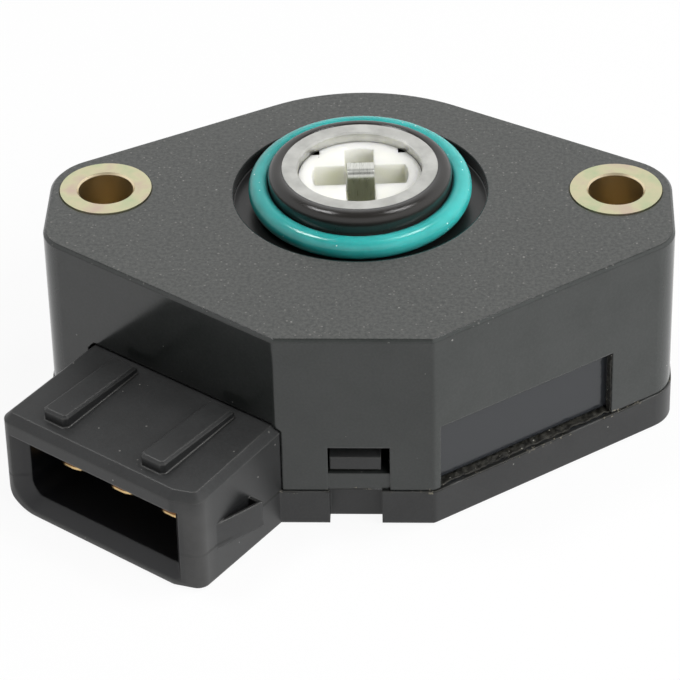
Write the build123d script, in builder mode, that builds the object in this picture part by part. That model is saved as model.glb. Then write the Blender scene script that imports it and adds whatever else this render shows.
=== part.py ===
# Throttle position sensor: a cover with mounting bushings and sealing collar, a base with
# its plug connector, and the rotor, wiper and resistor board that work between them.
# Millimetres. The origin is on the rotor's axis, in the plane of the mounting face.
# +X runs through the mounting holes and +Z points out of the mounting face.
import os
from math import cos, degrees, radians, sin, tan

from build123d import *

os.makedirs("parts", exist_ok=True)

# Mounting bushings
hole_spacing = 40.0
bushing_od = 7.2
bushing_bore = 4.3
bushing_mouth = 0.15
bushing_proud = 0.12
bushing_gap = 0.02
boss_wall = 0.7

# Outline of the body, seen along the axis
end_half = 24.4
end_back_round = 4.4
end_front_round = 3.0
back_radius = 14.7
back_slope = 30.0
front_half = 6.0
front_depth = 20.4
flank_slope = 36.0
front_round = 0.5

# Heights below the mounting face, and walls
seam_drop = 14.0
base_drop = 17.2
wall = 1.6
roof = 2.4
floor = 1.6
top_edge = 0.22
base_proud = 0.12
base_edge = 0.25

# Sealing collar, its ring and the groove round it
collar_od = 14.4
collar_rise = 2.2
collar_edge = 0.42
collar_edge_step = 0.14
recess_od = 20.0
recess_depth = 1.1
ring_section = 1.78
ring_facets = 8
ring_radius = 7.86
ring_gap = 0.02
ring_seat = 0.02
ring_tilt = 4.5

# Bearing bush and the sleeve that holds it
bush_od = 12.2
bush_bore = 9.76
bush_chamfer = 0.12
sleeve_drop = 3.2
sleeve_wall = 1.2
press_gap = 0.02

# Snap hooks between cover and base
window_width = 4.7
window_shift = 0.27
window_top = 9.95
window_bottom = 12.45
strap_relief = 0.15
hook_width = 3.9
hook_gap = 0.35
hook_lead = 0.7
hook_setback = 0.2
arm_gap = 0.15
arm_thickness = 1.0
arm_relief = 0.5
notch_width = 4.0
notch_depth = 1.2
back_hook_reach = 8.0

# Base spigot inside the cover's skirt
spigot_gap = 0.12
spigot_wall = 1.2
spigot_rise = 1.6
boss_clearance = 0.2

# Shallow panel in the flank across from the connector
panel_start = 0.6
panel_end = 16.9
panel_top = 8.2
panel_depth = 0.7
panel_groove = 0.45
panel_groove_depth = 0.5

# Connector shroud on the base
shroud_setback = 9.13
shroud_left = 9.35
shroud_right = 9.35
shroud_flare = 0.42
shroud_length = 10.56
shroud_top = 7.9
shroud_top_fall = 0.56
shroud_lift = 0.2
shroud_edge = 0.62
shroud_low_round = 3.0
nose_round = 1.0
nose_sweep = 2.2
nose_sweep_back = 0.8
shroud_gap = 0.1

# Mouth for the plug, with a flared lead-in, and the block that holds the terminals
mouth_wall = 2.1
mouth_top_wall = 2.25
mouth_low_wall = 1.3
mouth_low_round = 1.2
mouth_floor = 0.5
lead_depth = 1.0
lead_flare = 1.1
lead_low_flare = 0.95
block_width = 14.4
block_top = 9.0
block_depth = 4.5

# Ribs on the shroud's top and latch ramps on its sides
rib_spacing = 9.6
rib_width = 2.36
rib_top = 7.36
rib_start = 0.8
rib_end = 9.15
rib_shift = -0.1
rib_corner = 0.3
rib_edge = 0.2
ramp_start = 8.4
ramp_end = 3.6
ramp_rise = 1.15
ramp_top = 12.1
ramp_bottom = 14.4
ramp_skin = 0.25
ramp_core = 1.6

# Blade terminals
pin_count = 3
pin_pitch = 5.0
pin_width = 2.8
pin_thickness = 0.8
pin_drop = 13.1
pin_tip = 7.9
pin_tip_corner = 1.1
pin_tip_bevel = 0.5
pin_tip_edge = 0.2
pin_inner = 8.6
rivet_reach = 7.0
rivet_shank = 0.7
rivet_head = 1.2
rivet_head_height = 0.4
rivet_facets = 12

# Resistor board
board_thickness = 1.0
board_radius = 11.4
board_facets = 16
board_hole = 3.3
tongue_width = 15.0
tongue_reach = 5.2
tongue_overlap = 8.0
post_length = 2.6
post_width = 1.4
post_circle = 9.4
post_angles = (20.0, 140.0, 290.0)

# Rotor
rotor_drop = 0.8
journal_gap = 0.06
flange_radius = 9.5
flange_thickness = 1.6
flange_gap = 0.2
hub_radius = 4.0
hub_drop = 9.6
pivot_radius = 1.5
pivot_gap = 0.05
pivot_lift = 0.3
pivot_boss_wall = 1.3
pivot_boss_rise = 2.4
socket_arm = 2.3
socket_cross = 2.7
socket_length = 7.6
socket_depth = 4.0
rim_notch = 1.0
rim_notch_depth = 1.2
rim_notch_x = 3.1
rim_notch_y = 3.05

# Rotor stops
turn_range = 95.0
turn_centre = -90.0
rest_turn = 3.4
lug_width = 2.2
lug_reach = 2.1
stop_width = 1.6
stop_gap = 0.3
stop_inner_gap = 0.4
stop_reach = 3.0
stop_drop = 5.2

# Spring clip in the drive socket
clip_width = 2.1
clip_thickness = 0.3
clip_length = 2.05
clip_centre = -0.1
clip_shift = 0.06
clip_rise = 0.85
clip_bend = 0.7

# Wiper
wiper_thickness = 0.25
wiper_plate_facets = 8
wiper_hole_gap = 0.2
wiper_bend = 4.6
wiper_contact = 8.4
wiper_tip = 9.3
wiper_tip_lift = 0.45
wiper_gap = 0.12
wiper_width = 4.4
finger_slot = 0.3
finger_pitch = 1.5

# Worked-out places
boss_radius = bushing_od / 2 + boss_wall
end_back_y = back_radius / cos(radians(back_slope)) - end_half * tan(radians(back_slope))
end_front_y = (end_half - front_half) * tan(radians(flank_slope)) - front_depth
sleeve_radius = bush_od / 2 + sleeve_wall
spigot_inset = wall + spigot_gap
tray_inset = spigot_inset + spigot_wall
floor_z = floor - base_drop
mouth_left = shroud_left - mouth_wall
mouth_right = shroud_right - mouth_wall
mouth_top = shroud_top + mouth_top_wall
mouth_bottom = base_drop - shroud_lift - mouth_low_wall
pin_top_z = pin_thickness / 2 - pin_drop
board_top_z = pin_top_z + board_thickness
rotor_top = collar_rise - rotor_drop
flange_top = -sleeve_drop - flange_gap
flange_bottom = flange_top - flange_thickness
journal_radius = bush_bore / 2 - journal_gap
socket_floor = rotor_top - socket_depth

# The left front flank carries the connector; its plane has X along the flank, Y inward, Z up
flank_x = cos(radians(flank_slope))
flank_y = sin(radians(flank_slope))
connector_x = -front_half - shroud_setback * flank_x
connector_y = -front_depth + shroud_setback * flank_y
connector_plane = Plane(
    origin=(connector_x, connector_y, 0), x_dir=(flank_x, -flank_y, 0), z_dir=(0, 0, 1)
)
# The same flank seen from outside: X along the flank, Y up, Z outward
connector_face = Plane(
    origin=(connector_x, connector_y, 0), x_dir=(flank_x, -flank_y, 0), z_dir=(-flank_y, -flank_x, 0)
)
# The right front flank, with X from the front corner along the flank and Z out of it
panel_plane = Plane(
    origin=(front_half, -front_depth, 0), x_dir=(flank_x, flank_y, 0), z_dir=(flank_y, -flank_x, 0)
)


def back_hook_plane(side):
    """Plane on a back flank at a hook, with X along the flank, Y up and Z outward."""
    out_x = side * sin(radians(back_slope))
    out_y = cos(radians(back_slope))
    origin_x = back_radius * out_x + side * back_hook_reach * out_y
    origin_y = back_radius * out_y - side * back_hook_reach * out_x
    return Plane(origin=(origin_x, origin_y, 0), x_dir=(-out_y, out_x, 0), z_dir=(out_x, out_y, 0))


front_plane = Plane(origin=(0, -front_depth, 0), x_dir=(1, 0, 0), z_dir=(0, -1, 0))
hook_planes = [
    front_plane,
    back_hook_plane(1),
    back_hook_plane(-1),
]

# Outline: round back, sloping flanks, end flats and a short front flat
with BuildSketch() as outline:
    with BuildLine():
        arc_x = back_radius * sin(radians(back_slope))
        arc_y = back_radius * cos(radians(back_slope))
        ThreePointArc((-arc_x, arc_y), (0, back_radius), (arc_x, arc_y))
        right_edge = Polyline(
            (arc_x, arc_y),
            (end_half, end_back_y),
            (end_half, end_front_y),
            (front_half, -front_depth),
            (0, -front_depth),
        )
        mirror(right_edge, about=Plane.YZ)
    make_face()
    end_corners = outline.vertices().group_by(Axis.X)
    fillet([end_corners[0].sort_by(Axis.Y)[-1], end_corners[-1].sort_by(Axis.Y)[-1]], end_back_round)
    low_ends = [v for v in outline.vertices() if abs(v.Y - end_front_y) < wall / 100]
    fillet(low_ends, end_front_round)
    front_ends = [
        v for v in outline.vertices().group_by(Axis.Y)[0] if abs(abs(v.X) - front_half) < wall / 100
    ]
    fillet(front_ends, front_round)


def inset_outline(margin):
    """The body's outline moved inward by an even margin."""
    with BuildSketch() as shrunk:
        add(outline.sketch)
        offset(amount=-margin, mode=Mode.REPLACE)
    return shrunk.sketch


cavity_outline = inset_outline(wall)
spigot_outline = inset_outline(spigot_inset)
tray_outline = inset_outline(tray_inset)
base_outline = inset_outline(-base_proud)

# Cover with the mounting face, collar, bosses and hook windows
lug_half_angle = degrees(lug_width / 2 / (flange_radius + lug_reach / 2))
stop_offset = degrees((lug_width / 2 + stop_width / 2 + stop_gap) / (flange_radius + lug_reach / 2))
stop_angles = [
    turn_centre - turn_range / 2 - stop_offset,
    turn_centre + turn_range / 2 + stop_offset,
]
with BuildPart() as cover:
    with BuildSketch(Plane.XY.offset(-seam_drop)):
        add(outline.sketch)
    extrude(amount=seam_drop)
    chamfer(cover.faces().sort_by(Axis.Z)[-1].edges(), top_edge)
    with BuildSketch(Plane.XY.offset(-seam_drop)):
        add(cavity_outline)
    extrude(amount=seam_drop - roof, mode=Mode.SUBTRACT)
    # Bosses for the bushings, and the sleeve that carries the bearing bush
    with BuildSketch(Plane.XY.offset(-seam_drop)):
        with GridLocations(hole_spacing, 0, 2, 1):
            Circle(boss_radius)
    extrude(amount=seam_drop - roof)
    with BuildSketch(Plane.XY.offset(-sleeve_drop)):
        Circle(sleeve_radius)
    extrude(amount=sleeve_drop - roof)
    # Stops for the rotor's lug, hanging from the roof
    with BuildSketch(Plane.XY.offset(-stop_drop)):
        for angle in stop_angles:
            with PolarLocations(flange_radius + stop_inner_gap + stop_reach / 2, 1, start_angle=angle):
                Rectangle(stop_reach, stop_width)
    extrude(amount=stop_drop - roof)
    # Collar and the groove round it
    with BuildSketch():
        Circle(collar_od / 2)
    extrude(amount=collar_rise)
    chamfer(cover.faces().sort_by(Axis.Z)[-1].edges(), collar_edge)
    collar_edges = cover.edges().filter_by(GeomType.CIRCLE).sort_by(Axis.Z)[-2:]
    chamfer(collar_edges, collar_edge_step)
    with BuildSketch():
        Circle(recess_od / 2)
        Circle(collar_od / 2, mode=Mode.SUBTRACT)
    extrude(amount=-recess_depth, mode=Mode.SUBTRACT)
    Hole(bush_od / 2 + press_gap)
    with GridLocations(hole_spacing, 0, 2, 1):
        Hole(bushing_od / 2 + bushing_gap)
    # Hook windows, with the strap below each set back a little
    for place in hook_planes:
        shift = window_shift if place is front_plane else 0
        with BuildSketch(place):
            with Locations((shift, -(window_top + window_bottom) / 2)):
                Rectangle(window_width, window_bottom - window_top)
        extrude(amount=-(wall + arm_gap), mode=Mode.SUBTRACT)
        with BuildSketch(place.offset(wall)):
            with Locations((shift, -(window_bottom + seam_drop) / 2)):
                Rectangle(window_width, seam_drop - window_bottom)
        extrude(amount=-(wall + strap_relief), mode=Mode.SUBTRACT)
    # Way out for the connector, rounded like the shroud
    with BuildSketch(connector_face) as way_out:
        with BuildLine():
            Polyline(
                (-shroud_left - shroud_gap, -seam_drop),
                (-shroud_left - shroud_gap, shroud_gap - shroud_top),
                (shroud_right + shroud_gap, shroud_gap - shroud_top),
                (shroud_right + shroud_gap, -seam_drop),
                close=True,
            )
        make_face()
        chamfer(way_out.vertices().group_by(Axis.Y)[-1], shroud_edge)
    extrude(amount=wall + shroud_gap, both=True, mode=Mode.SUBTRACT)
    # Shallow panel in the other flank, with a groove along its lower edge
    panel_middle = (panel_start + panel_end) / 2
    with BuildSketch(panel_plane):
        with Locations((panel_middle, -(panel_top + seam_drop) / 2)):
            Rectangle(panel_end - panel_start, seam_drop - panel_top)
    extrude(amount=-panel_depth, mode=Mode.SUBTRACT)
    with BuildSketch(panel_plane):
        with Locations((panel_middle, panel_groove / 2 - seam_drop)):
            Rectangle(panel_end - panel_start, panel_groove)
    extrude(amount=-(panel_depth + panel_groove_depth), mode=Mode.SUBTRACT)
cover.part.label = "cover"
export_step(cover.part, "parts/cover.step")

# Connector shroud in its own frame: X along the flank, Y inward, Z up
with BuildPart() as shroud:
    # Seen from the plug's side: one large lower corner
    with BuildSketch(Plane.XZ.offset(-wall)) as front_view:
        with BuildLine():
            Polyline(
                (-shroud_left, shroud_lift - base_drop),
                (-shroud_left, -shroud_top),
                (shroud_right + shroud_flare, -shroud_top),
                (shroud_right + shroud_flare, shroud_lift - base_drop),
                close=True,
            )
        make_face()
        fillet(front_view.vertices().group_by(Axis.Y)[0].sort_by(Axis.X)[0], shroud_low_round)
    extrude(amount=wall + shroud_length)
    # Seen from above: the right side flares a little and the nose is swept back on that side
    with BuildSketch(Plane.XY.offset(-base_drop)) as top_view:
        with BuildLine():
            Polyline(
                (-shroud_left, wall),
                (-shroud_left, -shroud_length),
                (shroud_right + shroud_flare - nose_sweep, -shroud_length),
                (shroud_right + shroud_flare, nose_sweep_back - shroud_length),
                (shroud_right, wall),
                close=True,
            )
        make_face()
        fillet(top_view.vertices().group_by(Axis.Y)[0], nose_round)
        fillet(top_view.vertices().sort_by(Axis.X)[-1], nose_round)
    extrude(amount=base_drop, mode=Mode.INTERSECT)
    # Seen from the side: the top falls towards the nose
    with BuildSketch(Plane.YZ):
        with BuildLine():
            Polyline(
                (wall, -base_drop),
                (-shroud_length, -base_drop),
                (-shroud_length, -shroud_top - shroud_top_fall),
                (wall, -shroud_top),
                close=True,
            )
        make_face()
    extrude(amount=shroud_left + shroud_right, both=True, mode=Mode.INTERSECT)
    top_face = shroud.faces().sort_by(Axis.Z)[-1]
    chamfer([edge for edge in top_face.edges() if edge.center().Y < wall - shroud_gap], shroud_edge)
    # Mouth for the plug: a flared lead-in, then a straight well
    with BuildSketch(Plane.XZ.offset(shroud_length)) as lead_front:
        with BuildLine():
            Polyline(
                (-mouth_left - lead_flare, -mouth_top),
                (-mouth_left - lead_flare, -mouth_bottom - lead_low_flare),
                (mouth_right + lead_flare, -mouth_bottom - lead_low_flare),
                (mouth_right + lead_flare, -mouth_top),
                close=True,
            )
        make_face()
        fillet(lead_front.vertices().group_by(Axis.Y)[0].sort_by(Axis.X)[0], mouth_low_round + lead_flare)
    with BuildSketch(Plane.XZ.offset(shroud_length - lead_depth)) as lead_back:
        with BuildLine():
            Polyline(
                (-mouth_left, -mouth_top),
                (-mouth_left, -mouth_bottom),
                (mouth_right, -mouth_bottom),
                (mouth_right, -mouth_top),
                close=True,
            )
        make_face()
        fillet(lead_back.vertices().group_by(Axis.Y)[0].sort_by(Axis.X)[0], mouth_low_round)
    loft(ruled=True, mode=Mode.SUBTRACT)
    with BuildSketch(Plane.XZ.offset(shroud_length - lead_depth)):
        add(lead_back.sketch)
    extrude(amount=-(shroud_length - lead_depth - mouth_floor), mode=Mode.SUBTRACT)
    # Keying ribs on the top
    with BuildSketch(Plane.XY.offset(-rib_top)) as ribs:
        with Locations((rib_shift, -(rib_start + rib_end) / 2)):
            with GridLocations(rib_spacing, 0, 2, 1):
                Rectangle(rib_width, rib_end - rib_start)
        chamfer(ribs.vertices().group_by(Axis.Y)[0], rib_corner)
    extrude(amount=-(shroud_top + shroud_top_fall + rib_edge - rib_top))
    rib_faces = shroud.faces().filter_by(Axis.Z).group_by(Axis.Z)[-1]
    chamfer(rib_faces.edges(), rib_edge)
    # Latch ramps on the sides, cored from above
    for side, face in ((1, shroud_right + shroud_flare / 2), (-1, shroud_left)):
        with BuildSketch(Plane.XY.offset(-ramp_bottom)):
            with BuildLine():
                Polyline(
                    (side * (face - shroud_flare), -ramp_start),
                    (side * face, -ramp_start),
                    (side * (face + ramp_rise), -ramp_end),
                    (side * (face - shroud_flare), -ramp_end),
                    close=True,
                )
            make_face()
        extrude(amount=ramp_bottom - ramp_top)
        core_slope = ramp_rise / (ramp_start - ramp_end)
        core_back = ramp_end + ramp_skin
        core_front = ramp_start - ramp_skin / core_slope
        with BuildSketch(Plane.XY.offset(-ramp_top)):
            with BuildLine():
                Polyline(
                    (side * face, -core_front),
                    (side * (face + (core_front - core_back) * core_slope), -core_back),
                    (side * face, -core_back),
                    close=True,
                )
            make_face()
        extrude(amount=-ramp_core, mode=Mode.SUBTRACT)
    # Block inside the cover that holds the terminals
    with BuildSketch(Plane.XY.offset(floor_z - floor / 2)):
        with Locations((0, (wall + block_depth) / 2)):
            Rectangle(block_width, block_depth - wall + 2 * shroud_gap)
    extrude(amount=-block_top - floor_z + floor / 2)
shroud_in_place = shroud.part.moved(connector_plane.location)

# Base with rim, spigot, hooks, pivot boss and connector
with BuildPart() as base:
    with BuildSketch(Plane.XY.offset(-base_drop)):
        add(base_outline)
    extrude(amount=base_drop - seam_drop)
    chamfer(base.faces().sort_by(Axis.Z)[0].edges(), base_edge)
    with BuildSketch(Plane.XY.offset(floor_z)):
        add(tray_outline)
    extrude(amount=-seam_drop - floor_z, mode=Mode.SUBTRACT)
    with BuildSketch(Plane.XY.offset(-seam_drop)):
        add(spigot_outline)
        add(tray_outline, mode=Mode.SUBTRACT)
    extrude(amount=spigot_rise)
    # Room for the cover's bosses above the seam, and pillars under them
    with BuildSketch(Plane.XY.offset(-seam_drop)):
        with GridLocations(hole_spacing, 0, 2, 1):
            Circle(boss_radius + boss_clearance)
    extrude(amount=spigot_rise, mode=Mode.SUBTRACT)
    with BuildSketch(Plane.XY.offset(floor_z)):
        with GridLocations(hole_spacing, 0, 2, 1):
            Circle(boss_radius)
    extrude(amount=-seam_drop - floor_z)
    # Snap hooks in relieved gaps of the spigot, with a notch in the rim below each
    for place in hook_planes:
        with BuildSketch(place.offset(-spigot_inset)):
            with Locations((0, spigot_rise / 2 - seam_drop)):
                Rectangle(hook_width + 2 * arm_relief, spigot_rise)
        extrude(amount=-spigot_wall, mode=Mode.SUBTRACT)
        side_plane = Plane(origin=place.origin, x_dir=place.z_dir, z_dir=-place.x_dir)
        with BuildSketch(side_plane):
            with BuildLine():
                Polyline(
                    (-wall - arm_gap - arm_thickness, floor_z),
                    (-wall - arm_gap - arm_thickness, -window_top - hook_gap),
                    (-wall - arm_gap, -window_top - hook_gap),
                    (-hook_setback, -window_top - hook_gap - hook_lead),
                    (-hook_setback, -window_bottom + hook_gap),
                    (-wall - arm_gap, -window_bottom + hook_gap),
                    (-wall - arm_gap, floor_z),
                    close=True,
                )
            make_face()
        extrude(amount=hook_width / 2, both=True)
        with BuildSketch(place.offset(wall)):
            with Locations((0, -(base_drop + seam_drop) / 2)):
                Rectangle(notch_width, base_drop - seam_drop)
        extrude(amount=-(wall + notch_depth), mode=Mode.SUBTRACT)
    add(shroud_in_place)
    # Pivot boss for the rotor and posts for the resistor board
    with BuildSketch(Plane.XY.offset(floor_z)):
        Circle(pivot_radius + pivot_gap + pivot_boss_wall)
        Circle(pivot_radius + pivot_gap, mode=Mode.SUBTRACT)
    extrude(amount=pivot_boss_rise)
    with BuildSketch(Plane.XY.offset(floor_z)):
        for angle in post_angles:
            with PolarLocations(post_circle, 1, start_angle=angle):
                Rectangle(post_length, post_width)
    extrude(amount=pin_top_z - floor_z)
    # Bushing holes and slots for the terminals
    with GridLocations(hole_spacing, 0, 2, 1):
        Hole(bushing_od / 2 + bushing_gap)
    with BuildSketch(connector_plane.offset(-pin_drop - pin_thickness / 2)):
        with Locations((0, (block_depth - mouth_floor) / 2)):
            with GridLocations(pin_pitch, 0, pin_count, 1):
                Rectangle(pin_width, block_depth + mouth_floor + 2 * shroud_gap)
    extrude(amount=pin_thickness, mode=Mode.SUBTRACT)
base.part.label = "base"
export_step(base.part, "parts/base.step")

# Bushings that take the mounting screws' clamping force
bushing_length = base_drop + bushing_proud
for name, side in (("bushing_left", -1), ("bushing_right", 1)):
    with BuildPart() as bushing:
        with BuildSketch(Plane.XY.offset(-base_drop)):
            with Locations((side * hole_spacing / 2, 0)):
                Circle(bushing_od / 2)
                Circle(bushing_bore / 2, mode=Mode.SUBTRACT)
        extrude(amount=bushing_length)
        bore_edges = bushing.edges().filter_by(GeomType.CIRCLE).sort_by(SortBy.RADIUS)[:2]
        chamfer(bore_edges.sort_by(Axis.Z)[-1], bushing_mouth)
    bushing.part.label = name
    export_step(bushing.part, f"parts/{name}.step")

# Sealing ring, lying a little askew with its front on the groove's floor and its inside
# flattened by the collar it is stretched over
ring_centre = ring_seat + ring_section / 2 - recess_depth + ring_radius * sin(radians(ring_tilt))
ring_slack = ring_section / 2 * tan(radians(ring_tilt))
ring_inside = (collar_od / 2 + ring_gap) / cos(radians(ring_tilt)) + ring_slack
with BuildPart() as sealing_ring:
    with BuildSketch(Plane.XZ):
        with Locations((ring_radius, 0)):
            RegularPolygon(ring_section / 2, ring_facets)
        with Locations((ring_inside, 0)):
            Rectangle(ring_section, ring_section, align=(Align.MAX, Align.CENTER), mode=Mode.SUBTRACT)
    revolve(axis=Axis.Z)
ring_place = Location((0, 0, ring_centre), (ring_tilt, 0, 0))
sealing_ring_in_place = sealing_ring.part.moved(ring_place)
sealing_ring_in_place.label = "sealing_ring"
export_step(sealing_ring_in_place, "parts/sealing_ring.step")

# Bearing bush pressed into the collar
with BuildPart() as bearing_bush:
    with BuildSketch(Plane.XY.offset(-sleeve_drop)):
        Circle(bush_od / 2)
        Circle(bush_bore / 2, mode=Mode.SUBTRACT)
    extrude(amount=sleeve_drop + collar_rise)
    chamfer(bearing_bush.faces().sort_by(Axis.Z)[-1].edges().sort_by(SortBy.RADIUS)[0], bush_chamfer)
bearing_bush.part.label = "bearing_bush"
export_step(bearing_bush.part, "parts/bearing_bush.step")

# Rotor with journal, flange, stop lug, pivot and drive socket, drawn at its first stop; it and
# the pieces on it are then turned a little to where they stand at rest
rest_place = Location((0, 0, 0), (0, 0, rest_turn))
lug_angle = turn_centre - turn_range / 2
with BuildPart() as rotor:
    with BuildSketch(Plane.XY.offset(flange_bottom)):
        Circle(journal_radius)
    extrude(amount=rotor_top - flange_bottom)
    with BuildSketch(Plane.XY.offset(flange_bottom)):
        Circle(flange_radius)
        with PolarLocations(flange_radius, 1, start_angle=lug_angle):
            Rectangle(2 * lug_reach, lug_width)
    extrude(amount=flange_thickness)
    with BuildSketch(Plane.XY.offset(-hub_drop)):
        Circle(hub_radius)
    extrude(amount=hub_drop + flange_bottom)
    with BuildSketch(Plane.XY.offset(floor_z + pivot_lift)):
        Circle(pivot_radius)
    extrude(amount=-hub_drop - floor_z - pivot_lift)
    # Cross-shaped socket with arms rounded to one circle, and notches in the rim
    with BuildSketch(Plane.XY.offset(rotor_top)):
        Rectangle(socket_length, socket_cross)
        Rectangle(socket_arm, socket_length)
        Circle(socket_length / 2, mode=Mode.INTERSECT)
    extrude(amount=-socket_depth, mode=Mode.SUBTRACT)
    with BuildSketch(Plane.XY.offset(rotor_top)):
        with GridLocations(2 * rim_notch_x + rim_notch, 2 * rim_notch_y + rim_notch, 2, 2):
            Rectangle(rim_notch, rim_notch)
    extrude(amount=-rim_notch_depth, mode=Mode.SUBTRACT)
rotor_at_rest = rotor.part.moved(rest_place)
rotor_at_rest.label = "rotor"
export_step(rotor_at_rest, "parts/rotor.step")

# Spring clip bent from strip, standing in the front arm of the drive socket
with BuildPart() as drive_clip:
    with BuildSketch(Plane.YZ.offset(clip_shift)) as clip_profile:
        clip_height = rotor_top + clip_rise - socket_floor
        with Locations((clip_centre, socket_floor + clip_height / 2)):
            Rectangle(clip_length, clip_height)
        fillet(clip_profile.vertices().group_by(Axis.Y)[-1], clip_bend)
        inner_height = clip_height - clip_thickness
        with BuildSketch(mode=Mode.SUBTRACT) as clip_inside:
            with Locations((clip_centre, socket_floor + inner_height / 2)):
                Rectangle(clip_length - 2 * clip_thickness, inner_height)
            fillet(clip_inside.vertices().group_by(Axis.Y)[-1], clip_bend - clip_thickness)
    extrude(amount=clip_width / 2, both=True)
drive_clip_at_rest = drive_clip.part.moved(rest_place)
drive_clip_at_rest.label = "drive_clip"
export_step(drive_clip_at_rest, "parts/drive_clip.step")

# Wiper: a plate under the rotor's hub with sprung fingers that reach the tracks
wiper_plate_z = -hub_drop - wiper_thickness
wiper_low_z = board_top_z + wiper_gap
with BuildPart() as wiper:
    with BuildSketch(Plane.XY.offset(wiper_plate_z)):
        RegularPolygon(hub_radius, wiper_plate_facets)
        hole_radius = pivot_radius + wiper_hole_gap
        RegularPolygon(hole_radius, wiper_plate_facets, major_radius=False, mode=Mode.SUBTRACT)
    extrude(amount=wiper_thickness)
    with BuildSketch(Plane.XZ):
        with BuildLine():
            Polyline(
                (hub_radius - wiper_thickness, wiper_plate_z),
                (wiper_bend, wiper_plate_z),
                (wiper_contact, wiper_low_z),
                (wiper_tip, wiper_low_z + wiper_tip_lift),
                (wiper_tip, wiper_low_z + wiper_tip_lift + wiper_thickness),
                (wiper_contact, wiper_low_z + wiper_thickness),
                (wiper_bend, wiper_plate_z + wiper_thickness),
                (hub_radius - wiper_thickness, wiper_plate_z + wiper_thickness),
                close=True,
            )
        make_face()
    extrude(amount=wiper_width / 2, both=True)
    with BuildSketch(Plane.XY.offset(wiper_low_z)):
        with Locations(((wiper_bend + wiper_tip) / 2 + wiper_tip_lift, 0)):
            with GridLocations(0, finger_pitch, 1, 2):
                Rectangle(wiper_tip - wiper_bend, finger_slot)
    extrude(amount=wiper_plate_z - wiper_low_z + wiper_thickness, mode=Mode.SUBTRACT)
wiper_at_rest = wiper.part.moved(rest_place)
wiper_at_rest.label = "wiper"
export_step(wiper_at_rest, "parts/wiper.step")

# Resistor board: a disc round the pivot with a tongue out to the terminals
with BuildPart() as track_board:
    with BuildSketch(Plane.XY.offset(pin_top_z)):
        RegularPolygon(board_radius, board_facets)
    extrude(amount=board_thickness)
    with BuildSketch(connector_plane.offset(pin_top_z)):
        with Locations((0, tongue_reach + tongue_overlap / 2)):
            Rectangle(tongue_width, tongue_overlap)
    extrude(amount=board_thickness)
    with BuildSketch(connector_plane.offset(pin_top_z)):
        with Locations((0, rivet_reach)):
            with GridLocations(pin_pitch, 0, pin_count, 1):
                RegularPolygon(rivet_shank, rivet_facets)
    with BuildSketch(Plane.XY.offset(pin_top_z)):
        RegularPolygon(board_hole, board_facets)
    extrude(amount=board_thickness, mode=Mode.SUBTRACT)
track_board.part.label = "track_board"
export_step(track_board.part, "parts/track_board.step")

# Blade terminals, from the plug's mouth through the base to the board
for index in range(pin_count):
    pin_x = (index - (pin_count - 1) / 2) * pin_pitch
    with BuildPart() as terminal:
        with BuildSketch(Plane.XY.offset(-pin_drop - pin_thickness / 2)) as blade:
            with Locations((0, (pin_inner - pin_tip) / 2)):
                Rectangle(pin_width, pin_inner + pin_tip)
            fillet(blade.vertices().group_by(Axis.Y)[0], pin_tip_corner)
            with Locations((0, rivet_reach)):
                RegularPolygon(rivet_shank, rivet_facets, mode=Mode.SUBTRACT)
        extrude(amount=pin_thickness)
        # The tip is bevelled above and below
        with BuildSketch(Plane.YZ):
            with Locations((0, -pin_drop)):
                Rectangle(2 * pin_inner, pin_thickness)
            with BuildLine():
                Polyline(
                    (pin_tip_bevel - pin_tip, pin_top_z),
                    (-pin_tip, pin_top_z - pin_tip_edge),
                    (-pin_tip, pin_top_z - pin_thickness + pin_tip_edge),
                    (pin_tip_bevel - pin_tip, pin_top_z - pin_thickness),
                    (-2 * pin_tip, pin_top_z - pin_thickness),
                    (-2 * pin_tip, pin_top_z),
                    close=True,
                )
            make_face(mode=Mode.SUBTRACT)
        extrude(amount=pin_width, both=True, mode=Mode.INTERSECT)
    terminal_in_place = terminal.part.moved(connector_plane.location * Location((pin_x, 0, 0)))
    terminal_in_place.label = f"terminal_{index + 1}"
    export_step(terminal_in_place, f"parts/terminal_{index + 1}.step")

# Rivets that join the terminals to the board
with BuildPart() as board_rivets:
    with BuildSketch(connector_plane.offset(pin_top_z - pin_thickness)):
        with Locations((0, rivet_reach)):
            with GridLocations(pin_pitch, 0, pin_count, 1):
                RegularPolygon(rivet_shank, rivet_facets)
    extrude(amount=pin_thickness + board_thickness)
    with BuildSketch(connector_plane.offset(board_top_z)):
        with Locations((0, rivet_reach)):
            with GridLocations(pin_pitch, 0, pin_count, 1):
                RegularPolygon(rivet_head, rivet_facets)
    extrude(amount=rivet_head_height)
board_rivets.part.label = "board_rivets"
export_step(board_rivets.part, "parts/board_rivets.step")
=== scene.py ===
# %% [markdown]
# # Throttle position sensor
# A small black sensor that bolts to a throttle body. The solids come ready made and in place,
# so this lesson is about finishing them: smooth round parts, honest plastics and metals, and
# the soft light of a product photograph. Every length is in metres, with +Z out of the
# mounting face and the rotor's axis on the Z axis.

# %% Load the solids
from math import cos, pi, radians, sin
from types import SimpleNamespace

import bpy
from mathutils import Matrix, Vector


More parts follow.
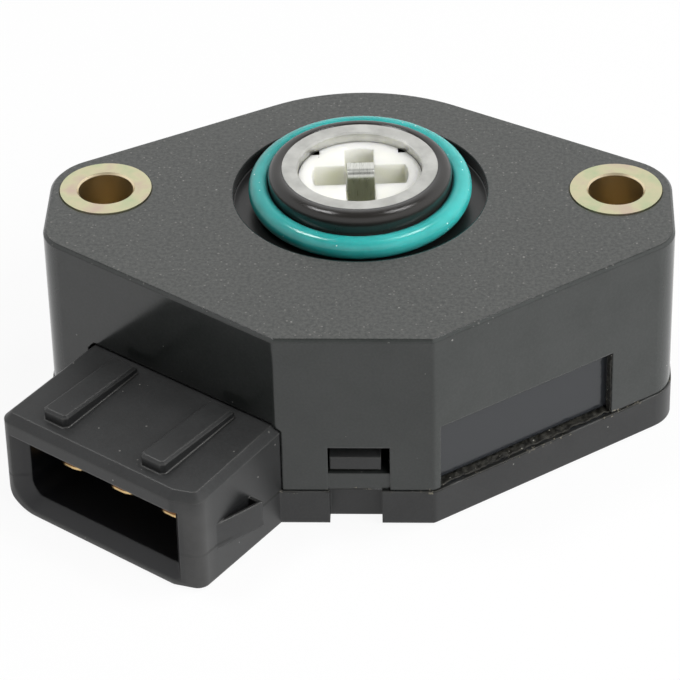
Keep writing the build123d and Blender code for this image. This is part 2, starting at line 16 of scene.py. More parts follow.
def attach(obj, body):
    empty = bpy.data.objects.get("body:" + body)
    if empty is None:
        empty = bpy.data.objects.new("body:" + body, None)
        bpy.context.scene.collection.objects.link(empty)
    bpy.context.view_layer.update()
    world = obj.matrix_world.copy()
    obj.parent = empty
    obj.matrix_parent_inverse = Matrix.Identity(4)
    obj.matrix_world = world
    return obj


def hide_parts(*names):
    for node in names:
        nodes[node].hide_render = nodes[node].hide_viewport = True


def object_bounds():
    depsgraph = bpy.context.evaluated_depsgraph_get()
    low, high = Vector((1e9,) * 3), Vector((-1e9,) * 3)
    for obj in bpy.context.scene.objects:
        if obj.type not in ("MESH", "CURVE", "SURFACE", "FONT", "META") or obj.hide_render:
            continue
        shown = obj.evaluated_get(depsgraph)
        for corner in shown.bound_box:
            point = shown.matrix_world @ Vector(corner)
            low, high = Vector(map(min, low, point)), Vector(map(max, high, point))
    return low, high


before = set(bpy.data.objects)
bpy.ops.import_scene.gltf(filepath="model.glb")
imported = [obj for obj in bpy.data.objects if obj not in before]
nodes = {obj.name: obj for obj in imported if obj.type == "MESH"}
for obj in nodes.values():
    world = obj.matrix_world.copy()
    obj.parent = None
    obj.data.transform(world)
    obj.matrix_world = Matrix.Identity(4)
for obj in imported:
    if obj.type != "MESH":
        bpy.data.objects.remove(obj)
solid_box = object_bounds()
MM = 0.001

# %% [markdown]
# ## Places on the part
# Many finishes change at some height, at some distance from the axis, or along the connector and
# the front flanks, which slant by the same angle. These places are measured on the solids once
# and named here, so that a change of shape is followed in one cell.

# %% Heights and distances
COLLAR_FOOT, COLLAR_EDGE = 0.6 * MM, 0.32 * MM
RECESS_TOP, RECESS_RADIUS = -0.3 * MM, 10.3 * MM
SEAM_LEVEL = -14.0 * MM
HOLE_OFFSET, BORE_RADIUS = 20.0 * MM, 2.28 * MM
BUSH_SHADE_TOP = 1.34 * MM
ROTOR_FACE, ROTOR_NOTCHES = 1.32 * MM, 4.32 * MM
TRACK_RADIUS, TRACK_HALF = 8.4 * MM, 1.1 * MM
print("holes", 2 * HOLE_OFFSET / MM, "mm apart, seam at", SEAM_LEVEL / MM, "mm")

# %% Connector and flanks
SLANT = radians(36)
PLUG_WAY = (-sin(SLANT), -cos(SLANT), 0)
ROW_WAY = (cos(SLANT), -sin(SLANT), 0)
FLANK_WAY = (sin(SLANT), -cos(SLANT), 0)
FLANK_RUN = (cos(SLANT), sin(SLANT), 0)
PLUG_START, PLUG_CLEAR = 20.2 * MM, 20.4 * MM
MOUTH_BACK, MOUTH_LIP = 20.6 * MM, 30.5 * MM
MOUTH_ROOF, MOUTH_FLOOR = -10.1 * MM, -16.72 * MM
ROW_MIDDLE, MOUTH_HALF = -1.99 * MM, 8.5 * MM
PANEL_TOP = -8.15 * MM
PANEL_BACK, PANEL_PLAY = 19.42 * MM, 0.42 * MM
PANEL_MIDDLE, PANEL_HALF = 1.48 * MM, 8.35 * MM
print("connector and front flanks slant by 36 degrees")

# %% [markdown]
# ## Small helpers for shaders
# A material is a graph of nodes. A few short helpers keep the cells readable: they add a node with
# its values, join two sockets, do a sum, stretch a range, lay one colour over another, and start a
# node group with named sockets. The groups hold effects that several finishes share, and the
# shader itself stays in each material, where the export can read it.

# %% Shader helpers
def put(tree, kind, values=None, **settings):
    """Adds a node, sets its properties and then the values of its input sockets."""
    made = tree.nodes.new(kind)
    for key, value in settings.items():
        setattr(made, key, value)
    for key, value in (values or {}).items():
        made.inputs[key].default_value = value
    return made


def join(tree, source, output, target, socket):
    """Links an output socket to an input socket."""
    tree.links.new(source.outputs[output], target.inputs[socket])


def math_node(tree, operation, *terms, **settings):
    """A Math node. Each term is a number, or a node and the name of its output."""
    made = put(tree, "ShaderNodeMath", operation=operation, **settings)
    for socket, term in enumerate(terms):
        if isinstance(term, tuple):
            join(tree, *term, made, socket)
        else:
            made.inputs[socket].default_value = term
    return made


def map_range(tree, source, output, values):
    """A Map Range node that stretches an output over a range."""
    made = put(tree, "ShaderNodeMapRange", values)
    join(tree, source, output, made, "Value")
    return made


def lay_over(tree, under, mask, tint):
    """A colour laid over the one under it, where the mask is white."""
    made = put(tree, "ShaderNodeMix", {"B": tint}, data_type="RGBA")
    join(tree, *mask, made, "Factor")
    join(tree, *under, made, "A")
    return made


def two_tones(tree, mask, dark, light):
    """A colour that runs from dark to light with the mask."""
    made = put(tree, "ShaderNodeMix", {"A": dark, "B": light}, data_type="RGBA")
    join(tree, *mask, made, "Factor")
    return made


def start_group(name, inputs, outputs):
    """A shader node group with named float inputs and named outputs."""
    group = bpy.data.node_groups.new(name, "ShaderNodeTree")
    for label, value in inputs.items():
        socket = group.interface.new_socket(
            name=label, in_out="INPUT", socket_type="NodeSocketFloat"
        )
        socket.default_value = value
    for label in outputs:
        group.interface.new_socket(name=label, in_out="OUTPUT", socket_type="NodeSocketFloat")
    return group, group.nodes.new("NodeGroupInput"), group.nodes.new("NodeGroupOutput")


def use_group(tree, group, values):
    """Places a group in a material with its own values."""
    made = tree.nodes.new("ShaderNodeGroup")
    made.node_tree = group
    for key, value in values.items():
        made.inputs[key].default_value = value
    return made


def start_material(name):
    """A material with an empty graph, its Principled shader and its output."""
    material = bpy.data.materials.new(name)
    material.use_nodes = True
    tree = material.node_tree
    tree.nodes.clear()
    shader = put(tree, "ShaderNodeBsdfPrincipled")
    output = put(tree, "ShaderNodeOutputMaterial")
    join(tree, shader, "BSDF", output, "Surface")
    return material, tree, shader


def dress(material, *names):
    """Gives a finish to solids by name."""
    for name in names:
        nodes[name].data.materials.clear()
        nodes[name].data.materials.append(material)
    print(material.name, "on", ", ".join(names))


# %% [markdown]
# ## Grain, specks and turning lines
# Moulded plastic is never quite even: its skin copies the fine texture of the tool, and dust
# from the box sticks to it. Turned metal carries fine rings from the lathe. Each of these is a
# group that gives a mask or a height, so any finish can use it with its own scale.

# %% Moulded grain group
grain, grain_in, grain_out = start_group(
    "moulded_grain", {"Fine": 5200.0, "Broad": 260.0}, ["Height", "Tone", "Speckle"]
)
grain_place = put(grain, "ShaderNodeTexCoord")
fine = put(grain, "ShaderNodeTexNoise", {"Detail": 3.0, "Roughness": 0.6})
broad = put(grain, "ShaderNodeTexNoise", {"Detail": 4.0, "Roughness": 0.55})
for texture, socket in ((fine, "Fine"), (broad, "Broad")):
    join(grain, grain_place, "Object", texture, "Vector")
    join(grain, grain_in, socket, texture, "Scale")
height = math_node(grain, "MULTIPLY_ADD", (broad, "Fac"), 0.35, (fine, "Fac"))
tone = map_range(grain, broad, "Fac", {"From Min": 0.35, "From Max": 0.65})
speckle = map_range(grain, fine, "Fac", {"From Min": 0.38, "From Max": 0.66})
join(grain, speckle, "Result", grain_out, "Speckle")
join(grain, height, "Value", grain_out, "Height")
join(grain, tone, "Result", grain_out, "Tone")
print("group", grain.name, "ready")

# %% Dust speck group
dust, dust_in, dust_out = start_group(
    "dust_specks", {"Scale": 900.0, "Share": 0.25, "Size": 0.16}, ["Mask"]
)
dust_place = put(dust, "ShaderNodeTexCoord")
cells = put(dust, "ShaderNodeTexVoronoi", {"Randomness": 1.0})
join(dust, dust_place, "Object", cells, "Vector")
join(dust, dust_in, "Scale", cells, "Scale")
chance = put(dust, "ShaderNodeSeparateColor")
join(dust, cells, "Color", chance, "Color")
speck_size = math_node(dust, "MULTIPLY", (chance, "Green"), (dust_in, "Size"))
inside = math_node(dust, "SUBTRACT", (speck_size, "Value"), (cells, "Distance"))
speck = map_range(dust, inside, "Value", {"From Min": 0.0, "From Max": 0.03})
picked = math_node(dust, "LESS_THAN", (chance, "Red"), (dust_in, "Share"))
mask = math_node(dust, "MULTIPLY", (speck, "Result"), (picked, "Value"))
join(dust, mask, "Value", dust_out, "Mask")
print("group", dust.name, "ready")

# %% Turning line group
turned, turned_in, turned_out = start_group(
    "turning_lines", {"Centre": 0.0, "Lines": 9000.0}, ["Height", "Radius"]
)
turned_place = put(turned, "ShaderNodeTexCoord")
parts = put(turned, "ShaderNodeSeparateXYZ")
join(turned, turned_place, "Object", parts, "Vector")
side = math_node(turned, "ABSOLUTE", (parts, "X"))
across = math_node(turned, "SUBTRACT", (side, "Value"), (turned_in, "Centre"))
flat = put(turned, "ShaderNodeCombineXYZ")
join(turned, across, "Value", flat, "X")
join(turned, parts, "Y", flat, "Y")
radius = put(turned, "ShaderNodeVectorMath", operation="LENGTH")
join(turned, flat, "Vector", radius, 0)
line_place = put(turned, "ShaderNodeCombineXYZ")
join(turned, radius, "Value", line_place, "X")
rings = put(turned, "ShaderNodeTexNoise", {"Detail": 2.0, "Roughness": 0.7})
join(turned, line_place, "Vector", rings, "Vector")
join(turned, turned_in, "Lines", rings, "Scale")
join(turned, rings, "Fac", turned_out, "Height")
join(turned, radius, "Value", turned_out, "Radius")
print("group", turned.name, "ready")

# %% [markdown]
# ## The black plastics
# Cover and base are glass-filled nylon. It is a soft black with a broad sheen, so most of its
# brightness comes from the light tent and not from its own colour. A Bevel node rounds the
# shading at every hard edge, as a moulded part has no truly sharp one, and specks of dust lie
# on it. One helper makes both plastics, each with its own tone.

# %% [markdown]
# ### A film of dust
# Dust settles on the mounting face and stays off the upright walls, the collar and the recess. It
# could be painted by hand, but then it would be gone with the next change of shape, so the group
# finds the faces that look up, between two heights, and breaks the film up with fine noise.

# %% Settled dust group
settled, settled_in, settled_out = start_group(
    "settled_dust", {"Least": 0.15, "Most": 0.75, "Lowest": -0.4 * MM}, ["Mask"]
)
settled_place = put(settled, "ShaderNodeTexCoord")
facing = put(settled, "ShaderNodeNewGeometry")
upward = put(settled, "ShaderNodeSeparateXYZ")
join(settled, facing, "Normal", upward, "Vector")
level = map_range(settled, upward, "Z", {"From Min": 0.80, "From Max": 0.98})
film = put(settled, "ShaderNodeTexNoise", {"Scale": 3400.0, "Detail": 4.0, "Roughness": 0.72})
join(settled, settled_place, "Object", film, "Vector")
patchy = map_range(settled, film, "Fac", {"From Min": 0.38, "From Max": 0.62})
join(settled, settled_in, "Least", patchy, "To Min")
join(settled, settled_in, "Most", patchy, "To Max")
settled_parts = put(settled, "ShaderNodeSeparateXYZ")
join(settled, settled_place, "Object", settled_parts, "Vector")
below_collar = math_node(settled, "LESS_THAN", (settled_parts, "Z"), COLLAR_FOOT)
above_recess = math_node(settled, "GREATER_THAN", (settled_parts, "Z"), (settled_in, "Lowest"))
open_face = math_node(settled, "MULTIPLY", (below_collar, "Value"), (above_recess, "Value"))
level_low = math_node(settled, "MULTIPLY", (level, "Result"), (open_face, "Value"))
lying = math_node(settled, "MULTIPLY", (level_low, "Value"), (patchy, "Result"))
join(settled, lying, "Value", settled_out, "Mask")
print("group", settled.name, "ready")

# %% [markdown]
# ### Dirt in the seam
# Cover and base meet in a line that collects dark dirt and a few pale crumbs. The group measures
# the height over the seam, makes the line ragged with noise, and keeps it to some stretches. The
# connector has the same line, but much fainter, so a second measure along the plug's way tells
# housing and connector apart.

# %% Seam dirt group
seam, seam_in, seam_out = start_group(
    "seam_dirt", {"Level": SEAM_LEVEL, "Reach": 0.22 * MM}, ["Dark", "Light"]
)
seam_place = put(seam, "ShaderNodeTexCoord")
seam_parts = put(seam, "ShaderNodeSeparateXYZ")
join(seam, seam_place, "Object", seam_parts, "Vector")
from_seam = math_node(seam, "SUBTRACT", (seam_parts, "Z"), (seam_in, "Level"))
away = math_node(seam, "ABSOLUTE", (from_seam, "Value"))
crumbs = put(seam, "ShaderNodeTexNoise", {"Scale": 2600.0, "Detail": 3.0, "Roughness": 0.65})
join(seam, seam_place, "Object", crumbs, "Vector")
ragged = math_node(seam, "MULTIPLY", (crumbs, "Fac"), (seam_in, "Reach"))
under = math_node(seam, "LESS_THAN", (away, "Value"), (ragged, "Value"))
stretches = put(seam, "ShaderNodeTexNoise", {"Scale": 330.0, "Detail": 2.0})
join(seam, seam_place, "Object", stretches, "Vector")
here = map_range(seam, stretches, "Fac", {"From Min": 0.46, "From Max": 0.56})
outward = put(seam, "ShaderNodeVectorMath", {1: PLUG_WAY}, operation="DOT_PRODUCT")
join(seam, seam_place, "Object", outward, 0)
plug_ramp = {"From Min": PLUG_START, "From Max": PLUG_CLEAR, "To Min": 1.0, "To Max": 0.0}
housing = map_range(seam, outward, "Value", plug_ramp)
amount = map_range(seam, housing, "Result", {"To Min": 0.40, "To Max": 1.0})
dark_here = math_node(seam, "MULTIPLY", (under, "Value"), (here, "Result"))
dark_bits = math_node(seam, "MULTIPLY", (dark_here, "Value"), (amount, "Result"))
bright = math_node(seam, "GREATER_THAN", (crumbs, "Fac"), 0.62)
near = math_node(seam, "LESS_THAN", (away, "Value"), (seam_in, "Reach"))
bright_near = math_node(seam, "MULTIPLY", (bright, "Value"), (near, "Value"))
light_here = math_node(seam, "MULTIPLY", (bright_near, "Value"), (here, "Result"))
light_bits = math_node(seam, "MULTIPLY", (light_here, "Value"), (housing, "Result"))
join(seam, dark_bits, "Value", seam_out, "Dark")
join(seam, light_bits, "Value", seam_out, "Light")
print("group", seam.name, "ready")

# %% [markdown]
# ### The connector's mouth
# Inside, the plug's mouth is painted nearly black as shade, and its lip is painted paler as a
# highlight. Both are the same moulding, so one material has to know where it is. The group
# measures along the plug's way and along the row of blades, and gives a mask for the painted
# shade of the hollow and a soft one for the lip's painted highlight.

# %% Connector mouth group
mouth, mouth_in, mouth_out = start_group("connector_mouth", {"Lip": MOUTH_LIP}, ["Inside", "Lip"])
mouth_place = put(mouth, "ShaderNodeTexCoord")
mouth_parts = put(mouth, "ShaderNodeSeparateXYZ")
join(mouth, mouth_place, "Object", mouth_parts, "Vector")
plug_out = put(mouth, "ShaderNodeVectorMath", {1: PLUG_WAY}, operation="DOT_PRODUCT")
join(mouth, mouth_place, "Object", plug_out, 0)
plug_row = put(mouth, "ShaderNodeVectorMath", {1: ROW_WAY}, operation="DOT_PRODUCT")
join(mouth, mouth_place, "Object", plug_row, 0)
from_middle = math_node(mouth, "SUBTRACT", (plug_row, "Value"), ROW_MIDDLE)
to_side = math_node(mouth, "ABSOLUTE", (from_middle, "Value"))
between = math_node(mouth, "LESS_THAN", (to_side, "Value"), MOUTH_HALF)
under_roof = math_node(mouth, "LESS_THAN", (mouth_parts, "Z"), MOUTH_ROOF)
over_floor = math_node(mouth, "GREATER_THAN", (mouth_parts, "Z"), MOUTH_FLOOR)
past_flank = math_node(mouth, "GREATER_THAN", (plug_out, "Value"), MOUTH_BACK)
at_lip = math_node(mouth, "GREATER_THAN", (plug_out, "Value"), (mouth_in, "Lip"))
behind_lip = math_node(mouth, "SUBTRACT", 1.0, (at_lip, "Value"))
# Painted shade: this mask marks the hollow to be painted nearly black.
inside = between
for test in (under_roof, over_floor, past_flank, behind_lip):
    inside = math_node(mouth, "MULTIPLY", (inside, "Value"), (test, "Value"))
# Painted highlight: these masks mark the lip's rim to be painted paler.
beside = map_range(mouth, to_side, "Value", {"From Min": 7.6 * MM, "From Max": 9.0 * MM})
near_end = map_range(mouth, plug_out, "Value", {"From Min": 28.0 * MM, "From Max": 30.3 * MM})
low_rim = map_range(mouth, mouth_parts, "Z", {"From Min": -16.55 * MM, "From Max": -16.8 * MM})
below_top = map_range(mouth, mouth_parts, "Z", {"From Min": -8.2 * MM, "From Max": -10.6 * MM})
side_rim = math_node(mouth, "MULTIPLY", (beside, "Result"), (below_top, "Result"))
either_rim = math_node(mouth, "MAXIMUM", (side_rim, "Value"), (low_rim, "Result"))
lip = math_node(mouth, "MULTIPLY", (either_rim, "Value"), (near_end, "Result"))
join(mouth, inside, "Value", mouth_out, "Inside")
join(mouth, lip, "Value", mouth_out, "Lip")
print("group", mouth.name, "ready")

# %% [markdown]
# ### The panel in the right flank
# The right flank has a shallow panel with a smoother, slightly blue skin. It is part of the cover,
# so it gets its tint from a mask as well: a box along the flank, just behind its face.

# %% Side panel group
panel, panel_in, panel_out = start_group("side_panel", {"Top": PANEL_TOP}, ["Mask"])
panel_place = put(panel, "ShaderNodeTexCoord")
panel_parts = put(panel, "ShaderNodeSeparateXYZ")
join(panel, panel_place, "Object", panel_parts, "Vector")
flank_out = put(panel, "ShaderNodeVectorMath", {1: FLANK_WAY}, operation="DOT_PRODUCT")
join(panel, panel_place, "Object", flank_out, 0)
flank_along = put(panel, "ShaderNodeVectorMath", {1: FLANK_RUN}, operation="DOT_PRODUCT")
join(panel, panel_place, "Object", flank_along, 0)
set_back = math_node(panel, "COMPARE", (flank_out, "Value"), PANEL_BACK, PANEL_PLAY)
in_run = math_node(panel, "COMPARE", (flank_along, "Value"), PANEL_MIDDLE, PANEL_HALF)
low_down = math_node(panel, "LESS_THAN", (panel_parts, "Z"), (panel_in, "Top"))
back_run = math_node(panel, "MULTIPLY", (set_back, "Value"), (in_run, "Value"))
panel_mask = math_node(panel, "MULTIPLY", (back_run, "Value"), (low_down, "Value"))
join(panel, panel_mask, "Value", panel_out, "Mask")
print("group", panel.name, "ready")

# %% [markdown]
# ### One plastic in layers
# The finish is built as a painter would: a mottled black first, then film, powder, specks, seam
# dirt, a painted line of light and shade along the top edges, the hub painted dark as shade, the
# mouth's painted shade and painted lip highlight, and the panel, each laid over the last by its
# mask. Upright faces are nearly polished and mirror the paper, and faces that lie flat are
# matte, so roughness and relief follow the same masks. Each step is a function of its own, and
# the last one puts them together.

# %% Tones of the layers
FILM_TONE = (0.13, 0.13, 0.122, 1.0)
POWDER_TONE = (0.13, 0.128, 0.12, 1.0)
SPECK_TONE = (0.21, 0.207, 0.196, 1.0)
DIRT_TONE = (0.006, 0.006, 0.005, 1.0)
CRUMB_TONE = (0.17, 0.155, 0.12, 1.0)
# Painted shade: the recess and the collar are painted dark.
RECESS_SHADE_TONE = (0.006, 0.0063, 0.006, 1.0)
COLLAR_SHADE_TONE = (0.016, 0.0142, 0.0126, 1.0)
# Painted shade in the mouth's hollow, and a painted highlight on its lip.
HOLLOW_SHADE_TONE = (0.006, 0.0063, 0.0075, 1.0)
LIP_HIGHLIGHT_TONE = (0.058, 0.0575, 0.056, 1.0)
PANEL_TONE = (0.0195, 0.0215, 0.0245, 1.0)
print("film", FILM_TONE[:3], "over a black near", RECESS_SHADE_TONE[:3])

# %% Faces and edges of a moulding
def moulded_faces(tree, edge):
    """Masks that tell the faces of a moulding apart, and the normal with rounded edges."""
    place = put(tree, "ShaderNodeTexCoord")
    parts = put(tree, "ShaderNodeSeparateXYZ")
    join(tree, place, "Object", parts, "Vector")
    on_collar = math_node(tree, "GREATER_THAN", (parts, "Z"), COLLAR_FOOT)
    off_collar = math_node(tree, "SUBTRACT", 1.0, (on_collar, "Value"))
    edge_size = math_node(tree, "MULTIPLY_ADD", (on_collar, "Value"), COLLAR_EDGE, edge)
    rounded = put(tree, "ShaderNodeBevel", samples=8)
    join(tree, edge_size, "Value", rounded, "Radius")
    flat_face = put(tree, "ShaderNodeNewGeometry")
    face_way = put(tree, "ShaderNodeSeparateXYZ")
    join(tree, flat_face, "Normal", face_way, "Vector")
    lying = map_range(tree, face_way, "Z", {"From Min": 0.45, "From Max": 0.90})
    bent = put(tree, "ShaderNodeVectorMath", operation="DOT_PRODUCT")
    join(tree, flat_face, "Normal", bent, 0)
    join(tree, rounded, "Normal", bent, 1)
    even = map_range(tree, bent, "Value", {"From Min": 0.93, "From Max": 0.995})
    return SimpleNamespace(
        parts=parts, on_collar=on_collar, off_collar=off_collar,
        rounded=rounded, lying=lying, bent=bent, even=even,
    )


# %% Dust, painted edge light, painted hub shade, mouth and panel
def dust_layers(tree, under, faces, share, settle, lowest):
    """Film on the mounting face, powder on what lies flat, and specks everywhere."""
    film = use_group(tree, settled, {"Least": settle * 0.08, "Most": settle, "Lowest": lowest})
    film_here = math_node(tree, "MULTIPLY", (film, "Mask"), (faces.even, "Result"))
    filmed = lay_over(tree, under, (film_here, "Value"), FILM_TONE)
    powder = use_group(tree, dust, {"Scale": 2800.0, "Share": 0.05 + 1.2 * settle, "Size": 0.28})
    powder_here = math_node(tree, "MULTIPLY", (powder, "Mask"), (faces.lying, "Result"))
    powdered = lay_over(tree, (filmed, "Result"), (powder_here, "Value"), POWDER_TONE)
    specks = use_group(tree, dust, {"Scale": 1500.0, "Share": share, "Size": 0.15})
    return lay_over(tree, (powdered, "Result"), (specks, "Mask"), SPECK_TONE)


def painted_edge_line(tree, under, faces, edge_paint, edge_paint_tone):
    """A painted line along the edges that look up, on all but the collar: a highlight on the base
    and a dark reflection on the cover.
    """
    edge_paint_mask = map_range(
        tree, faces.bent, "Value", {"From Min": 0.995, "From Max": 0.90, "To Max": edge_paint}
    )
    edge_paint_off_collar = math_node(tree, "MULTIPLY", (edge_paint_mask, "Result"), (faces.off_collar, "Value"))
    round_way = put(tree, "ShaderNodeSeparateXYZ")
    join(tree, faces.rounded, "Normal", round_way, "Vector")
    top_edge = map_range(tree, round_way, "Z", {"From Min": 0.05, "From Max": 0.30})
    edge_paint_here = math_node(tree, "MULTIPLY", (edge_paint_off_collar, "Value"), (top_edge, "Result"))
    return lay_over(tree, under, (edge_paint_here, "Value"), edge_paint_tone)


def painted_hub_shade(tree, under, faces):
    """Painted shade: the recess nearly black and the collar a darker brown-black."""
    around = use_group(tree, turned, {"Centre": 0.0, "Lines": 3000.0})
    within = math_node(tree, "LESS_THAN", (around, "Radius"), RECESS_RADIUS)
    sunk = math_node(tree, "LESS_THAN", (faces.parts, "Z"), RECESS_TOP)
    in_recess = math_node(tree, "MULTIPLY", (within, "Value"), (sunk, "Value"))
    hub_part = math_node(tree, "MAXIMUM", (in_recess, "Value"), (faces.on_collar, "Value"))
    deeper = math_node(tree, "MULTIPLY", (hub_part, "Value"), 0.92)
    hub_shade_tone = two_tones(tree, (faces.on_collar, "Value"), RECESS_SHADE_TONE, COLLAR_SHADE_TONE)
    hub_shade_mix = put(tree, "ShaderNodeMix", data_type="RGBA")
    join(tree, deeper, "Value", hub_shade_mix, "Factor")
    join(tree, *under, hub_shade_mix, "A")
    join(tree, hub_shade_tone, "Result", hub_shade_mix, "B")
    return hub_shade_mix


def mouth_shade_and_panel(tree, under, skin):
    """The painted shade in the connector's hollow, the painted highlight on its lip, and the panel
    in the right flank.
    """
    opening = use_group(tree, mouth, {"Lip": MOUTH_LIP})
    hollow_shaded = lay_over(tree, under, (opening, "Inside"), HOLLOW_SHADE_TONE)
    lip_highlight_share = map_range(tree, skin, "Tone", {"To Min": 0.35, "To Max": 1.0})
    lip_highlight_here = math_node(tree, "MULTIPLY", (opening, "Lip"), (lip_highlight_share, "Result"))
    lip_lit = lay_over(tree, (hollow_shaded, "Result"), (lip_highlight_here, "Value"), LIP_HIGHLIGHT_TONE)
    set_in = use_group(tree, panel, {"Top": PANEL_TOP})
    return lay_over(tree, (lip_lit, "Result"), (set_in, "Mask"), PANEL_TONE)


# %% Black plastic finish
def black_plastic(
    name, dark, light, rough, edge, share, settle, lowest, edge_paint, edge_paint_tone, relief
):
    """Glass-filled nylon: two tones, sheen, edge size, dust, painted edge light and depth of grain.
    """
    material, tree, shader = start_material(name)
    faces = moulded_faces(tree, edge)
    skin = use_group(tree, grain, {"Fine": 5200.0, "Broad": 240.0})
    spread = math_node(tree, "MULTIPLY", (skin, "Speckle"), 0.5)
    shade = math_node(tree, "MULTIPLY_ADD", (skin, "Tone"), 0.5, (spread, "Value"))
    mottled = two_tones(tree, (shade, "Value"), dark, light)
    dusty = dust_layers(tree, (mottled, "Result"), faces, share, settle, lowest)
    dirt = use_group(tree, seam, {"Level": SEAM_LEVEL, "Reach": 0.24 * MM})
    dirty = lay_over(tree, (dusty, "Result"), (dirt, "Dark"), DIRT_TONE)
    flecked = lay_over(tree, (dirty, "Result"), (dirt, "Light"), CRUMB_TONE)
    edge_painted = painted_edge_line(tree, (flecked, "Result"), faces, edge_paint, edge_paint_tone)
    hub_shaded = painted_hub_shade(tree, (edge_painted, "Result"), faces)
    colour = mouth_shade_and_panel(tree, (hub_shaded, "Result"), skin)
    join(tree, colour, "Result", shader, "Base Color")
    sheen = map_range(tree, shade, "Value", {"To Min": rough - 0.02, "To Max": rough + 0.03})
    dull_top = math_node(tree, "MULTIPLY", (faces.lying, "Result"), (faces.even, "Result"))
    matte = math_node(tree, "MULTIPLY", (dull_top, "Value"), (faces.off_collar, "Value"))
    polished = math_node(tree, "MULTIPLY_ADD", (matte, "Value"), 0.16, (sheen, "Result"))
    dulled = math_node(
        tree, "MULTIPLY_ADD", (dirt, "Dark"), 0.5, (polished, "Value"), use_clamp=True
    )
    join(tree, dulled, "Value", shader, "Roughness")
    depth = map_range(tree, faces.lying, "Result", {"To Min": relief * 0.2, "To Max": relief})
    grown = math_node(tree, "MULTIPLY", (skin, "Height"), (depth, "Result"))
    bump = put(tree, "ShaderNodeBump", {"Strength": 1.0, "Distance": 0.04 * MM})
    join(tree, grown, "Value", bump, "Height")
    join(tree, faces.rounded, "Normal", bump, "Normal")
    join(tree, bump, "Normal", shader, "Normal")
    return material


# %% Cover and base
cover_plastic = black_plastic(
    "cover_plastic",
    dark=(0.023, 0.026, 0.0245, 1),
    light=(0.033, 0.036, 0.0345, 1),
    rough=0.15,
    edge=0.20 * MM,
    share=0.10,
    settle=0.42,
    lowest=-0.4 * MM,
    # Painted shade: a dark line along the top edges, as a reflection of shade.
    edge_paint=0.80,
    edge_paint_tone=(0.009, 0.0095, 0.009, 1),
    relief=0.08,
)
base_plastic = black_plastic(
    "base_plastic",
    dark=(0.009, 0.0093, 0.0095, 1),
    light=(0.019, 0.0197, 0.020, 1),
    rough=0.36,
    edge=0.22 * MM,
    share=0.14,
    settle=0.03,
    lowest=-1.0,
    # Painted highlight: a pale line along the top edges.
    edge_paint=0.55,
    edge_paint_tone=(0.075, 0.074, 0.070, 1),
    relief=0.26,
)
dress(cover_plastic, "cover")
dress(base_plastic, "base")

# %% [markdown]
# ## The metals
# The bushings are steel with a yellow passivated zinc plating, which shows pale green, pink and
# straw tints. The bearing bush is turned light grey metal, painted nearly black as shade below the
# rotor's face. The clip is bright spring strip with its upright faces painted darker as shade, and
# the terminals are gilt brass with a brown tarnish on all but the lower edge and their flat faces
# painted darker as shade. Metallic is 1 for all of them, and the tint is in the colour. The strips
# share one helper, because they differ only in tone and in the way their grain is drawn.

# %% Plated bushing finish
plating, tree, shader = start_material("plated_steel")
shader.inputs["Metallic"].default_value = 1.0
lines = use_group(tree, turned, {"Centre": HOLE_OFFSET, "Lines": 5200.0})
place = put(tree, "ShaderNodeTexCoord")
film = put(tree, "ShaderNodeTexNoise", {"Scale": 420.0, "Detail": 3.0, "Roughness": 0.55})
join(tree, place, "Object", film, "Vector")
tints = put(tree, "ShaderNodeValToRGB")
ramp = tints.color_ramp
ramp.elements[0].position, ramp.elements[0].color = 0.30, (0.54, 0.60, 0.37, 1)
ramp.elements[1].position, ramp.elements[1].color = 0.72, (0.66, 0.52, 0.42, 1)
middle = ramp.elements.new(0.50)
middle.color = (0.68, 0.64, 0.42, 1)
join(tree, film, "Fac", tints, "Fac")
bore = math_node(tree, "LESS_THAN", (lines, "Radius"), BORE_RADIUS)
plated = lay_over(tree, (tints, "Color"), (bore, "Value"), (0.80, 0.68, 0.46, 1))
join(tree, plated, "Result", shader, "Base Color")
dull = map_range(tree, film, "Fac", {"To Min": 0.24, "To Max": 0.40})
join(tree, dull, "Result", shader, "Roughness")
bump = put(tree, "ShaderNodeBump", {"Strength": 0.16, "Distance": 0.03 * MM})
join(tree, lines, "Height", bump, "Height")
join(tree, bump, "Normal", shader, "Normal")
dress(plating, "bushing_left", "bushing_right")

# %% Bearing bush finish
bush_metal, tree, shader = start_material("bush_metal")
shader.inputs["Metallic"].default_value = 1.0
lines = use_group(tree, turned, {"Centre": 0.0, "Lines": 7000.0})
skin = use_group(tree, grain, {"Fine": 4200.0, "Broad": 600.0})
colour = two_tones(tree, (skin, "Tone"), (0.52, 0.52, 0.495, 1), (0.66, 0.66, 0.63, 1))
place = put(tree, "ShaderNodeTexCoord")
parts = put(tree, "ShaderNodeSeparateXYZ")
join(tree, place, "Object", parts, "Vector")
# Painted shade: the wall below the rotor's face is painted nearly black.
bush_in_shade = math_node(tree, "LESS_THAN", (parts, "Z"), BUSH_SHADE_TOP)
shade_painted = lay_over(tree, (colour, "Result"), (bush_in_shade, "Value"), (0.030, 0.027, 0.020, 1))
join(tree, shade_painted, "Result", shader, "Base Color")
facing = put(tree, "ShaderNodeNewGeometry")
upward = put(tree, "ShaderNodeSeparateXYZ")
join(tree, facing, "Normal", upward, "Vector")
dull = map_range(
    tree, upward, "Z", {"From Min": 0.2, "From Max": 0.8, "To Min": 0.30, "To Max": 0.46}
)
uneven = math_node(tree, "MULTIPLY_ADD", (lines, "Height"), 0.12, (dull, "Result"))
join(tree, uneven, "Value", shader, "Roughness")
bump = put(tree, "ShaderNodeBump", {"Strength": 0.20, "Distance": 0.02 * MM})
join(tree, lines, "Height", bump, "Height")
join(tree, bump, "Normal", shader, "Normal")
dress(bush_metal, "bearing_bush")

